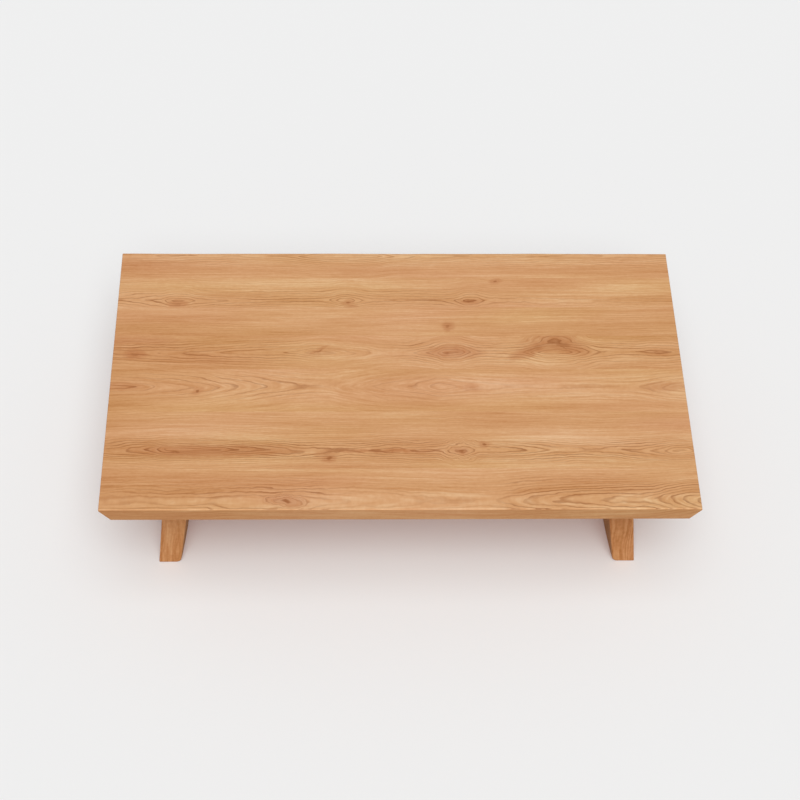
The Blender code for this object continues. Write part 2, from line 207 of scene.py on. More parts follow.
def carried_in_depth(section_at, depths, front_arris, back_arris):
    """Loops and normals of an (x, z) section carried from the front depth to the back depth.

    At each end the section shrinks along a quarter circle: by the arris times one less the cosine, while the
    depth goes in by the arris times one less the sine. An arris is a function of the section's points and
    normals.
    """
    loops, normals = [], []

    def add(section, depth, inset, lean, outward):
        """One loop: the section shrunk by an inset, with its normals leaning outward."""
        points, facing, growth = section
        places = points - inset[:, None] * growth
        loops.append(np.stack([places[:, 0], depth, places[:, 1]], axis=1))
        along, up = (facing * math.cos(lean)).T
        across = np.full(len(points), outward * math.sin(lean))
        normals.append(np.stack([along, across, up], axis=1))

    def add_end(end, arris, outward, leans):
        """The loops round the arris of one end."""
        section = section_at(end)
        radius = arris(*section[:2])
        for lean in leans:
            inset = radius * (1 - math.cos(lean))
            add(section, end - outward * radius * (1 - math.sin(lean)), inset, lean, outward)

    quarter = np.linspace(math.pi / 2, 0, EDGE_STEPS + 1)
    add_end(depths[0], front_arris, -1, quarter)
    for depth in depths[1:-1]:
        section = section_at(depth)
        count = len(section[0])
        add(section, np.full(count, depth), np.zeros(count), 0.0, 0)
    add_end(depths[-1], back_arris, 1, quarter[::-1])
    return np.array(loops), np.array(normals)


def skin(name, loops, normals=None):
    """A closed mesh over loops of points, each loop joined to the next by quads and the end loops filled."""
    stations, around = loops.shape[:2]
    index = np.arange(stations * around).reshape(stations, around)
    after = np.roll(index, -1, axis=1)
    quads = np.stack([index[:-1], index[1:], after[1:], after[:-1]], axis=-1).reshape(-1, 4)
    mesh = bpy.data.meshes.new(name)
    faces = [*quads.tolist(), index[0].tolist(), index[-1][::-1].tolist()]
    mesh.from_pydata(loops.reshape(-1, 3).tolist(), [], faces)
    mesh.shade_smooth()
    if normals is not None:
        lengths = np.linalg.norm(normals, axis=2, keepdims=True)
        mesh.normals_split_custom_set_from_vertices((normals / lengths).reshape(-1, 3).tolist())
    piece = bpy.data.objects.new(name, mesh)
    bpy.context.scene.collection.objects.link(piece)
    return piece


def dress(piece, material, slot, *nodes):
    """Give a piece its finish, let it ride on the table and stand for the solids named."""
    piece.data.materials.append(material)
    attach(piece, "root")
    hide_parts(*nodes)


def refinish(node, material):
    """Put a better material on a solid that keeps its own shape."""
    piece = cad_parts[node]
    piece.data.materials.clear()
    piece.data.materials.append(material)


def board_section(groove):
    """Section of a board along its length: bevelled ends, and two dovetail grooves of the given depth."""
    lip = TOP - END_LIP
    inset = HALF_LENGTH - END_BEVEL_RUN
    corners, radii, counts = [(-inset, UNDERSIDE)], [UNDER_ARRIS], [GROOVE_STEPS]
    for name in SIDES:
        low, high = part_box(f"{name}_groove_plug")
        middle = (low.x + high.x) / 2
        neck = (high.x - low.x) / 2 + JOINT_GAP - DOVETAIL_FLARE
        root = neck + DOVETAIL_FLARE * groove / (high.z - low.z)
        corners += [(middle - neck, UNDERSIDE), (middle - root, UNDERSIDE + groove)]
        corners += [(middle + root, UNDERSIDE + groove), (middle + neck, UNDERSIDE)]
        radii += [0, 0, 0, 0]
        counts += [0, GROOVE_STEPS, 0, BETWEEN_STEPS if name == "left" else GROOVE_STEPS]
    corners += [(inset, UNDERSIDE), (HALF_LENGTH, lip), (HALF_LENGTH, TOP)]
    corners += [(-HALF_LENGTH, TOP), (-HALF_LENGTH, lip)]
    radii += [UNDER_ARRIS, UNDER_ARRIS, LIP_ARRIS, LIP_ARRIS, UNDER_ARRIS]
    counts += [BEVEL_STEPS, LIP_STEPS, TOP_STEPS, LIP_STEPS, BEVEL_STEPS]
    return rounded_outline(corners, radii, counts)


def outer_arris(points, normals):
    """Rounding of the front and back edges: full above, slight below and a little uneven lengthwise."""
    along = points[:, 0]
    wander = sum(height * np.sin(along * turn + start) for height, turn, start in ARRIS_WAVES)
    above = TOP_ARRIS + TOP_ARRIS_WANDER * wander
    return UNDER_ARRIS + (above - UNDER_ARRIS) * np.clip(normals[:, 1], 0, 1)


def eased(points, normals):
    """Rounding of an edge that meets a neighbour: the same slight one all round."""
    return np.full(len(points), JOINT_EASE)


def make_board(index, material):
    """One board of the top: its section carried from front to back, far enough to close the solids' joints.

    The front board's grooves end at a stop, where its section changes to one with next to no groove.
    """
    node = f"top_board_{index}"
    low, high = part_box(node)
    at_back, at_front = index == 1, index == BOARD_COUNT
    close = (JOINT_GAP - HAIRLINE) / 2
    front = low.y - (0 if at_front else close)
    back = high.y + (0 if at_back else close)
    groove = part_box("left_groove_plug")[1].z - UNDERSIDE + JOINT_GAP
    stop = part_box("left_batten")[0].y - JOINT_GAP
    open_section, closed_section = board_section(groove), board_section(CLOSED_GROOVE)
    depths = [front, stop - GROOVE_STOP_STEP, stop, back] if at_front else [front, back]

    def section_at(depth):
        """The closed section in front of the grooves' stop, and the grooved one behind it."""
        return closed_section if depth < stop else open_section

    loops, normals = carried_in_depth(
        section_at, depths, outer_arris if at_front else eased, outer_arris if at_back else eased
    )
    dress(skin(f"{node}_planed", loops, normals), material, "top_wood", node)


def stave_section(side, depth):
    """Section of a plank leg at a depth: two splayed faces over a foot, or over the relief between the feet.

    The inner face is crowned: it stands out by the crown times one less the square of the depth's part of
    half the leg's depth. The relief rises evenly over its run.
    """
    lift = np.clip((FOOT_END - abs(depth)) / RELIEF_RUN, 0, 1)
    foot = PAD_PROUD + RELIEF_RISE * lift
    crown = LEG_CROWN * (1 - (depth / LEG_HALF_DEPTH) ** 2)
    outer_foot = HALF_LENGTH - LEG_END_SETBACK
    inner_foot = outer_foot - FOOT_THICKNESS - crown
    outer = [(outer_foot - z * math.tan(OUTER_SPLAY), z) for z in (foot, LEG_TOP)]
    inner = [(inner_foot - z * math.tan(INNER_SPLAY), z) for z in (foot, LEG_TOP)]
    foot_round = FOOT_ROUND + (FOOT_ARRIS - FOOT_ROUND) * lift
    counts = [STAVE_END_STEPS, STAVE_STEPS, STAVE_END_STEPS, STAVE_STEPS]
    if side > 0:
        corners = [inner[0], outer[0], outer[1], inner[1]]
        radii = [foot_round, FOOT_ARRIS, FOOT_ARRIS, FOOT_ARRIS]
    else:
        corners = [(-x, z) for x, z in (outer[0], inner[0], inner[1], outer[1])]
        radii = [FOOT_ARRIS, foot_round, FOOT_ARRIS, FOOT_ARRIS]
    return rounded_outline(corners, radii, counts)


def make_stave(name, side, index, material):
    """One upright stave of a plank leg: the leg's section carried through the stave's depth.

    It has extra stations where the relief bends, and the crown's slope turns the normals of the inner face.
    """
    node = f"{name}_leg_stave_{index}"
    at_front, at_back = index == 1, index == STAVE_COUNT
    width = 2 * LEG_HALF_DEPTH / STAVE_COUNT
    front = -LEG_HALF_DEPTH + (index - 1) * width + (0 if at_front else HAIRLINE / 2)
    back = -LEG_HALF_DEPTH + index * width - (0 if at_back else HAIRLINE / 2)
    bends = [turn * place for place in (FOOT_END, FOOT_END - RELIEF_RUN) for turn in (-1, 1)]
    even = np.linspace(front, back, STAVE_STATIONS).tolist()
    depths = sorted([*even, *(bend for bend in bends if front < bend < back)])

    def end_arris(points, normals):
        """Rounding of the leg's front and back edges, fuller on the inner face."""
        inward = np.clip(-side * normals[:, 0], 0, 1)
        return OUTER_ARRIS + (INNER_ARRIS - OUTER_ARRIS) * inward

    loops, normals = carried_in_depth(
        lambda depth: stave_section(side, depth),
        depths,
        end_arris if at_front else eased,
        end_arris if at_back else eased,
    )
    inward = np.clip(-side * normals[:, :, 0], 0, 1)
    normals[:, :, 1] += inward * 2 * LEG_CROWN * loops[:, :, 1] / LEG_HALF_DEPTH**2
    dress(skin(f"{node}_planed", loops, normals), material, "leg_wood", node)


def make_pad(node, material):
    """A pressed felt disc: a profile of radius and height turned round the pad's axis, with a frayed rim.

    The rim swells between the two faces and wavers by sines of the angle, as cut felt does.
    """
    low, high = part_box(node)
    middle = (low + high) / 2
    radius = (high.x - low.x) / 2
    height = high.z - low.z
    angle = np.linspace(0, -2 * math.pi, PAD_STEPS, endpoint=False)
    rise = np.linspace(0, math.pi, PAD_RIM_STEPS + 1)
    waves = sum(np.sin(angle * turns + start) for turns, start in PAD_FRAY_WAVES)
    fray = PAD_FRAY * (waves - len(PAD_FRAY_WAVES))
    rim = radius - PAD_SWELL * (1 - np.sin(rise) ** PAD_SWELL_POWER)
    face = radius * np.array(PAD_FACE_RINGS)
    out = np.concatenate([face, rim, face[::-1]])
    level = np.concatenate([0 * face, height * (1 - np.cos(rise)) / 2, 0 * face + height])
    worn = (out / radius)[:, None] ** PAD_FRAY_POWER
    spread = out[:, None] + worn * fray[None]
    loops = np.stack(
        [
            middle.x + spread * np.cos(angle),
            middle.y + spread * np.sin(angle),
            np.repeat(low.z + level[:, None], len(angle), axis=1),
        ],
        axis=-1,
    )
    dress(skin(f"{node}_felt", loops), material, "felt", node)


# Wood

SPAN = 2 * HALF_LENGTH  # length that a figure's curve along the grain covers
PITH_RINGS = 12  # rings over the pith that the full height of such a curve stands for
STRAIGHT = ((-600, 8), (600, 8))  # a deep and level pith, which leaves straight grain

# Tones of oiled, bare and dark wood, from the darkest streaks to the lightest
HONEY = ((0.0, "#B57A47"), (0.30, "#C88F5D"), (0.62, "#D6A272"), (1.0, "#E6BD90"))
RAW = ((0.0, "#B98A57"), (0.5, "#D0A671"), (1.0, "#E2C193"))
DARK = ((0.0, "#3E2516"), (0.5, "#57351F"), (1.0, "#6E4529"))
LATE_BROWN = "#8F5022"
LATE_BLACK = "#2E1A0E"
KNOT_RED = "#B26B3D"
KNOT_DARK = "#955729"
END_GRAIN = "#B98860"
# Painted shade, darker and warmer, multiplied onto faces turned to a long edge, such as the top's front
LONG_EDGE_SHADE = "#E5DBD0"
# the same painted shade, fainter, for the legs' front faces
STAVE_EDGE_SHADE = "#FFF3E6"

SOFT_NOISE = {"Scale": 1.0, "Detail": 1.0, "Roughness": 0.5}
# Wander of the fibres: length, width and reach of a sway, in mm
SWAYS = ((300, 70, 14), (80, 30, 3))
# Unevenness of the ring lines: length, width and size, in mm
RING_WAVER = ((150, 45, 14), (45, 20, 6), (16, 9, 2.2))
# Ring lines, drawn about twice as wide as real ones so that they show
LATE_WOOD = (2.4, 0.8, 0.5)  # where a ring's line starts, is full and ends, in mm before the next ring
LINE_CHANCE = (0.6, 1.0)  # the faintest ring and the strongest
LINE_FADE = (110, 16)  # length and width, in mm, of the places where lines fade
FADE_SWING = 0.12  # noise at which the fading is over
FADED = 0.5  # what is left of a faded line,
FAR_LINES = 0.22  # of the lines far from the heart,
EDGE_LINES = 0.3  # and of those on a long edge
# Turn of a surface to the long edge or the end grain: cosine where it starts and is full
EDGE_TURN = (0.5, 0.95)
END_TURN = (0.55, 0.9)
END_SHARE = 0.45  # how much of its colour the end grain gets
# Streaks of tone: length and width in mm, and strength
STREAKS = ((350, 55, 0.64), (600, 22, 0.33), (300, 7, 0.30), (170, 2.4, 0.68), (30, 1.8, 0.4), (8, 3, 0.26))
STREAK_CHANGE = 0.15  # how fast streaks change across the grain, for one from ring to ring
HUE_PATCH = (420, 80)  # length and width, in mm, of the patches that turn golden or pink
HUE_WANDER = (-0.04, 0.07, -0.18)  # red, green and blue gained or lost where the wood turns golden
ALONG_TONE = (0.02, -0.04)  # lighter in the middle of the length, darker at the ends
RAGGED = (18 * MM, 16 * MM)  # size of the notches in a knot's outline, and how far they are pushed
RAGGED_DETAIL = 2.0
# Knots: where the red and the dark end, in squares of the half size, and how much of the red is laid on
HALO_END = 1.7
CORE_END = 0.16
HALO_SHARE = 0.56
THROUGH = 1e6  # half size of a knot from face to face, which never ends inside the wood
# Satin of the oil and relief of the grain
OILED_ROUGHNESS = 0.55
RAW_ROUGHNESS = 0.62
SPECULAR = 0.25
GLOSS_SWING = 0.05
RELIEF_DEPTH = 0.15 * MM
RELIEF_STRENGTH = 0.25
LINE_RELIEF = -0.6  # late wood against the fibres
SEED_SHIFT = (1.0, 0.7, 1.3)  # how a seed moves the noise along, across and below


def grown_wood(
    name,
    along,
    across,
    facing,
    heart,
    face,
    pith,
    ring=5.5 * MM,
    arch=1.3,
    spread=(14, 44),
    lines=((-600, 0.8), (600, 0.8)),
    knots=(),
    tone=((0, 0.5), (1, 0.5)),
    edges=(0.0, 1.0),
    lean=0.0,
    seed=0.0,
    palette=HONEY,
    line_colour=LATE_BROWN,
    edge_shade=LONG_EDGE_SHADE,
    bold=1.0,
    roughness=OILED_ROUGHNESS,
):
    """Plain-sawn wood, planed and oiled.

    Growth rings are shells round a pith that runs along the grain at the heart, under as many rings below
    the face as a curve says; where the pith comes near the face the rings open to arches and eyes, round
    ones for an arch power of 2 and pointed ones nearer 1. Their lines are as strong along the grain as
    another curve says, and fade over a spread of distances from the heart, in mm. A knot pushes the rings
    out round itself. The tone runs across the grain between two edges, and bold wood has stronger streaks.
    The eye gets thin late-wood lines over soft long streaks, redder round the knots, darker end grain,
    painted shade on faces turned to the long edges, and a low satin that breaks up along the fibres.
    """
    material = bpy.data.materials.new(name)
    material.use_nodes = True
    tree = material.node_tree
    shader = tree.nodes["Principled BSDF"]
    place = put(tree, "TexCoord", out="Object")
    u = put(tree, "VectorMath", {0: place, 1: along}, out="Value", operation="DOT_PRODUCT")
    v = put(tree, "VectorMath", {0: place, 1: across}, out="Value", operation="DOT_PRODUCT")
    w = put(tree, "VectorMath", {0: place, 1: facing}, out="Value", operation="DOT_PRODUCT")
    grain = put(tree, "CombineXYZ", {0: u, 1: v, 2: w})

    def drift(at, length, width):
        """Noise about zero, in patches of a length along the grain and a width across it, in mm."""
        reach = (1 / (length * MM), 1 / (width * MM), 1 / (width * MM))
        offset = tuple(seed * shift for shift in SEED_SHIFT)
        at = put(tree, "VectorMath", {0: at, 1: reach, 2: offset}, operation="MULTIPLY_ADD")
        cloud = put(tree, "TexNoise", {"Vector": at, **SOFT_NOISE})
        return put(tree, "Math", {0: cloud, 1: 0.5}, operation="SUBTRACT")

    bent = v
    for length, width, reach in SWAYS:
        sway = drift(grain, length, width)
        bent = put(tree, "Math", {0: sway, 1: reach * MM, 2: bent}, operation="MULTIPLY_ADD")
    share = put(tree, "MapRange", {0: u, 1: -SPAN / 2, 2: SPAN / 2})
    curve = [(x * MM / SPAN + 0.5, rings / PITH_RINGS) for x, rings in pith]
    depth = put(tree, "FloatCurve", {1: share}, points=curve)
    aside = put(tree, "Math", {0: bent, 1: heart}, operation="SUBTRACT")
    aside = put(tree, "Math", {0: aside}, operation="ABSOLUTE")
    below = put(tree, "Math", {0: w, 1: face}, operation="SUBTRACT")
    below = put(tree, "Math", {0: depth, 1: PITH_RINGS * ring, 2: below}, operation="MULTIPLY_ADD")
    below = put(tree, "Math", {0: below}, operation="ABSOLUTE")
    shell = put(tree, "Math", {0: aside, 1: arch}, operation="POWER")
    under = put(tree, "Math", {0: below, 1: arch}, operation="POWER")
    shell = put(tree, "Math", {0: shell, 1: under}, operation="ADD")
    shell = put(tree, "Math", {0: shell, 1: 1 / arch}, operation="POWER")

    # Knots: rings dip to a hollow round each one
    ragged = {"Vector": grain, "Scale": 1 / RAGGED[0], "Detail": RAGGED_DETAIL}
    notches = put(tree, "TexNoise", ragged, out="Color")
    notches = put(tree, "VectorMath", {0: notches, 1: (0.5, 0.5, 0.5)}, operation="SUBTRACT")
    notched = put(tree, "VectorMath", {0: notches, 1: (RAGGED[1],) * 3, 2: grain}, operation="MULTIPLY_ADD")
    halo, core = 0.0, 0.0
    for x, y, half_length, half_width, rings, red, dark, tilt in knots:
        turn = (0, 0, math.radians(tilt))
        size = (half_length * MM, half_width * MM, THROUGH)
        middle = (x * MM, y * MM, 0)
        near = put(tree, "Mapping", {0: notched, 1: middle, 2: turn, 3: size}, vector_type="TEXTURE")
        away = put(tree, "VectorMath", {0: near, 1: near}, out="Value", operation="DOT_PRODUCT")
        if rings:
            level = np.interp(x, *zip(*pith)) * ring
            level = (abs(y * MM - heart) ** arch + level**arch) ** (1 / arch)
            hollow = put(
                tree, "Math", {0: away, 1: rings * ring, 2: level - rings * ring}, operation="MULTIPLY_ADD"
            )
            shell = put(tree, "Math", {0: shell, 1: hollow, 2: ring}, operation="SMOOTH_MIN")
        glow = put(tree, "MapRange", {0: away, 2: HALO_END, 3: red, 4: 0.0}, interpolation_type="SMOOTHSTEP")
        halo = put(tree, "Math", {0: halo, 1: glow}, operation="MAXIMUM")
        dot = put(tree, "MapRange", {0: away, 2: CORE_END, 3: dark, 4: 0.0}, interpolation_type="SMOOTHSTEP")
        core = put(tree, "Math", {0: core, 1: dot}, operation="MAXIMUM")

    # Late-wood lines: each ring darkens slowly and ends sharply, and no two are equally dark
    waver = shell
    for length, width, size in RING_WAVER:
        shake = drift(grain, length, width)
        waver = put(tree, "Math", {0: shake, 1: size * MM, 2: waver}, operation="MULTIPLY_ADD")
    count = put(tree, "Math", {0: waver, 1: ring}, operation="DIVIDE")
    part = put(tree, "Math", {0: count}, operation="FRACT")
    start, dark, end = (1 - width * MM / ring for width in LATE_WOOD)
    rise = put(tree, "MapRange", {0: part, 1: start, 2: dark}, interpolation_type="SMOOTHSTEP")
    fall = put(tree, "MapRange", {0: part, 1: end, 2: 1.0, 3: 1.0, 4: 0.0}, interpolation_type="SMOOTHSTEP")
    line = put(tree, "Math", {0: rise, 1: fall}, operation="MULTIPLY")
    number = put(tree, "Math", {0: count}, operation="FLOOR")
    number = put(tree, "Math", {0: number, 1: seed}, operation="ADD")
    chance = put(tree, "TexWhiteNoise", {1: number}, noise_dimensions="1D")
    chance = put(tree, "MapRange", {0: chance, 3: LINE_CHANCE[0], 4: LINE_CHANCE[1]})
    line = put(tree, "Math", {0: line, 1: chance}, operation="MULTIPLY")
    fade = drift(grain, *LINE_FADE)
    fade = put(tree, "MapRange", {0: fade, 1: -FADE_SWING, 2: FADE_SWING, 3: FADED, 4: 1.0})
    line = put(tree, "Math", {0: line, 1: fade}, operation="MULTIPLY")
    full, faint = (distance * MM for distance in spread)
    figured = put(
        tree, "MapRange", {0: aside, 1: full, 2: faint, 3: 1.0, 4: FAR_LINES}, interpolation_type="SMOOTHSTEP"
    )
    figured = put(tree, "Math", {0: figured, 1: halo}, operation="MAXIMUM")
    line = put(tree, "Math", {0: line, 1: figured}, operation="MULTIPLY")
    normal = put(tree, "NewGeometry", out="Normal")
    edge_on = put(tree, "VectorMath", {0: normal, 1: across}, out="Value", operation="DOT_PRODUCT")
    edge_on = put(tree, "Math", {0: edge_on}, operation="ABSOLUTE")
    edge_on = put(tree, "MapRange", {0: edge_on, 1: EDGE_TURN[0], 2: EDGE_TURN[1], 3: 1.0, 4: EDGE_LINES})
    line = put(tree, "Math", {0: line, 1: edge_on}, operation="MULTIPLY")

    # Streaks that follow the shells, from broad bands down to single fibres
    tones = put(tree, "MapRange", {0: v, 1: edges[0], 2: edges[1]})
    shade = put(tree, "FloatCurve", {1: tones}, points=list(tone))
    shade = put(tree, "Math", {0: u, 1: lean / SPAN, 2: shade}, operation="MULTIPLY_ADD")
    outward = put(tree, "Math", {0: u, 1: u}, operation="MULTIPLY")
    outward = put(tree, "MapRange", {0: outward, 2: HALF_LENGTH**2, 3: ALONG_TONE[0], 4: ALONG_TONE[1]})
    shade = put(tree, "Math", {0: shade, 1: outward}, operation="ADD")
    slow = put(tree, "Math", {0: v, 1: STREAK_CHANGE}, operation="MULTIPLY")
    streak = put(tree, "CombineXYZ", {0: u, 1: shell, 2: slow})
    for length, width, weight in STREAKS:
        fibre = drift(streak, length, width)
        shade = put(tree, "Math", {0: fibre, 1: bold * weight, 2: shade}, operation="MULTIPLY_ADD")
    colour = put(tree, "ValToRGB", {0: shade}, stops=palette)
    if knots:
        warm = put(tree, "Math", {0: halo, 1: HALO_SHARE}, operation="MULTIPLY")
        colour = put(tree, "Mix", {0: warm, 6: colour, 7: linear(KNOT_RED)}, out=2, data_type="RGBA")
    curve = [(x * MM / SPAN + 0.5, level) for x, level in lines]
    strength = put(tree, "FloatCurve", {1: share}, points=curve)
    strength = put(tree, "Math", {0: line, 1: strength}, operation="MULTIPLY")
    colour = put(tree, "Mix", {0: strength, 6: colour, 7: linear(line_colour)}, out=2, data_type="RGBA")
    if knots:
        colour = put(tree, "Mix", {0: core, 6: colour, 7: linear(KNOT_DARK)}, out=2, data_type="RGBA")

    patch = drift(grain, *HUE_PATCH)
    hue = put(tree, "VectorMath", {0: patch, 1: HUE_WANDER, 2: (1, 1, 1)}, operation="MULTIPLY_ADD")
    colour = put(tree, "VectorMath", {0: colour, 1: hue}, operation="MULTIPLY")

    # End grain drinks more oil and turns darker; faces turned to a long edge get a little painted shade
    tints = ((along, END_TURN, END_SHARE, END_GRAIN), (across, EDGE_TURN, 1.0, edge_shade))
    for way, (first, last), most, tint in tints:
        turned = put(tree, "VectorMath", {0: normal, 1: way}, out="Value", operation="DOT_PRODUCT")
        turned = put(tree, "Math", {0: turned}, operation="ABSOLUTE")
        turned = put(tree, "MapRange", {0: turned, 1: first, 2: last, 3: 0.0, 4: most})
        tinted = {0: turned, 6: colour, 7: linear(tint)}
        colour = put(tree, "Mix", tinted, out=2, data_type="RGBA", blend_type="MULTIPLY")
    tree.links.new(colour, shader.inputs["Base Color"])

    gloss = put(tree, "MapRange", {0: shade, 3: roughness + GLOSS_SWING, 4: roughness - GLOSS_SWING})
    tree.links.new(gloss, shader.inputs["Roughness"])
    shader.inputs["Specular IOR Level"].default_value = SPECULAR
    # The last and finest streaks stand up as relief, and the ring lines are sunk
    height = put(tree, "Math", {0: line, 1: LINE_RELIEF, 2: fibre}, operation="MULTIPLY_ADD")
    relief = put(tree, "Bump", {"Strength": RELIEF_STRENGTH, "Distance": RELIEF_DEPTH, "Height": height})
    tree.links.new(relief, shader.inputs["Normal"])
    return material


# Felt

FELT_TONES = ((0.25, "#4A4139"), (0.5, "#6A5E52"), (0.75, "#8A7C6C"))
FELT_TUFT = 0.9 * MM  # fibres are drawn as tufts, far coarser than wool, so that they show
FELT_MATTING = {"Detail": 4.0, "Roughness": 0.7, "Distortion": 1.5}
FELT_RELIEF = 0.3 * MM
FELT_RELIEF_STRENGTH = 0.8
FELT_ROUGHNESS = 0.95
FELT_SHEEN = 0.3


def felt():
    """Pressed wool felt: matt grey-brown with lighter and darker fibres matted together, and a soft edge."""
    material = bpy.data.materials.new("pressed_wool_felt")
    material.use_nodes = True
    tree = material.node_tree
    shader = tree.nodes["Principled BSDF"]
    place = put(tree, "TexCoord", out="Object")
    fibre = put(tree, "TexNoise", {"Vector": place, "Scale": 1 / FELT_TUFT, **FELT_MATTING})
    colour = put(tree, "ValToRGB", {0: fibre}, stops=FELT_TONES)
    tree.links.new(colour, shader.inputs["Base Color"])
    relief = put(tree, "Bump", {"Strength": FELT_RELIEF_STRENGTH, "Distance": FELT_RELIEF, "Height": fibre})
    tree.links.new(relief, shader.inputs["Normal"])
    shader.inputs["Roughness"].default_value = FELT_ROUGHNESS
    shader.inputs["Sheen Weight"].default_value = FELT_SHEEN
    return material


# The pieces

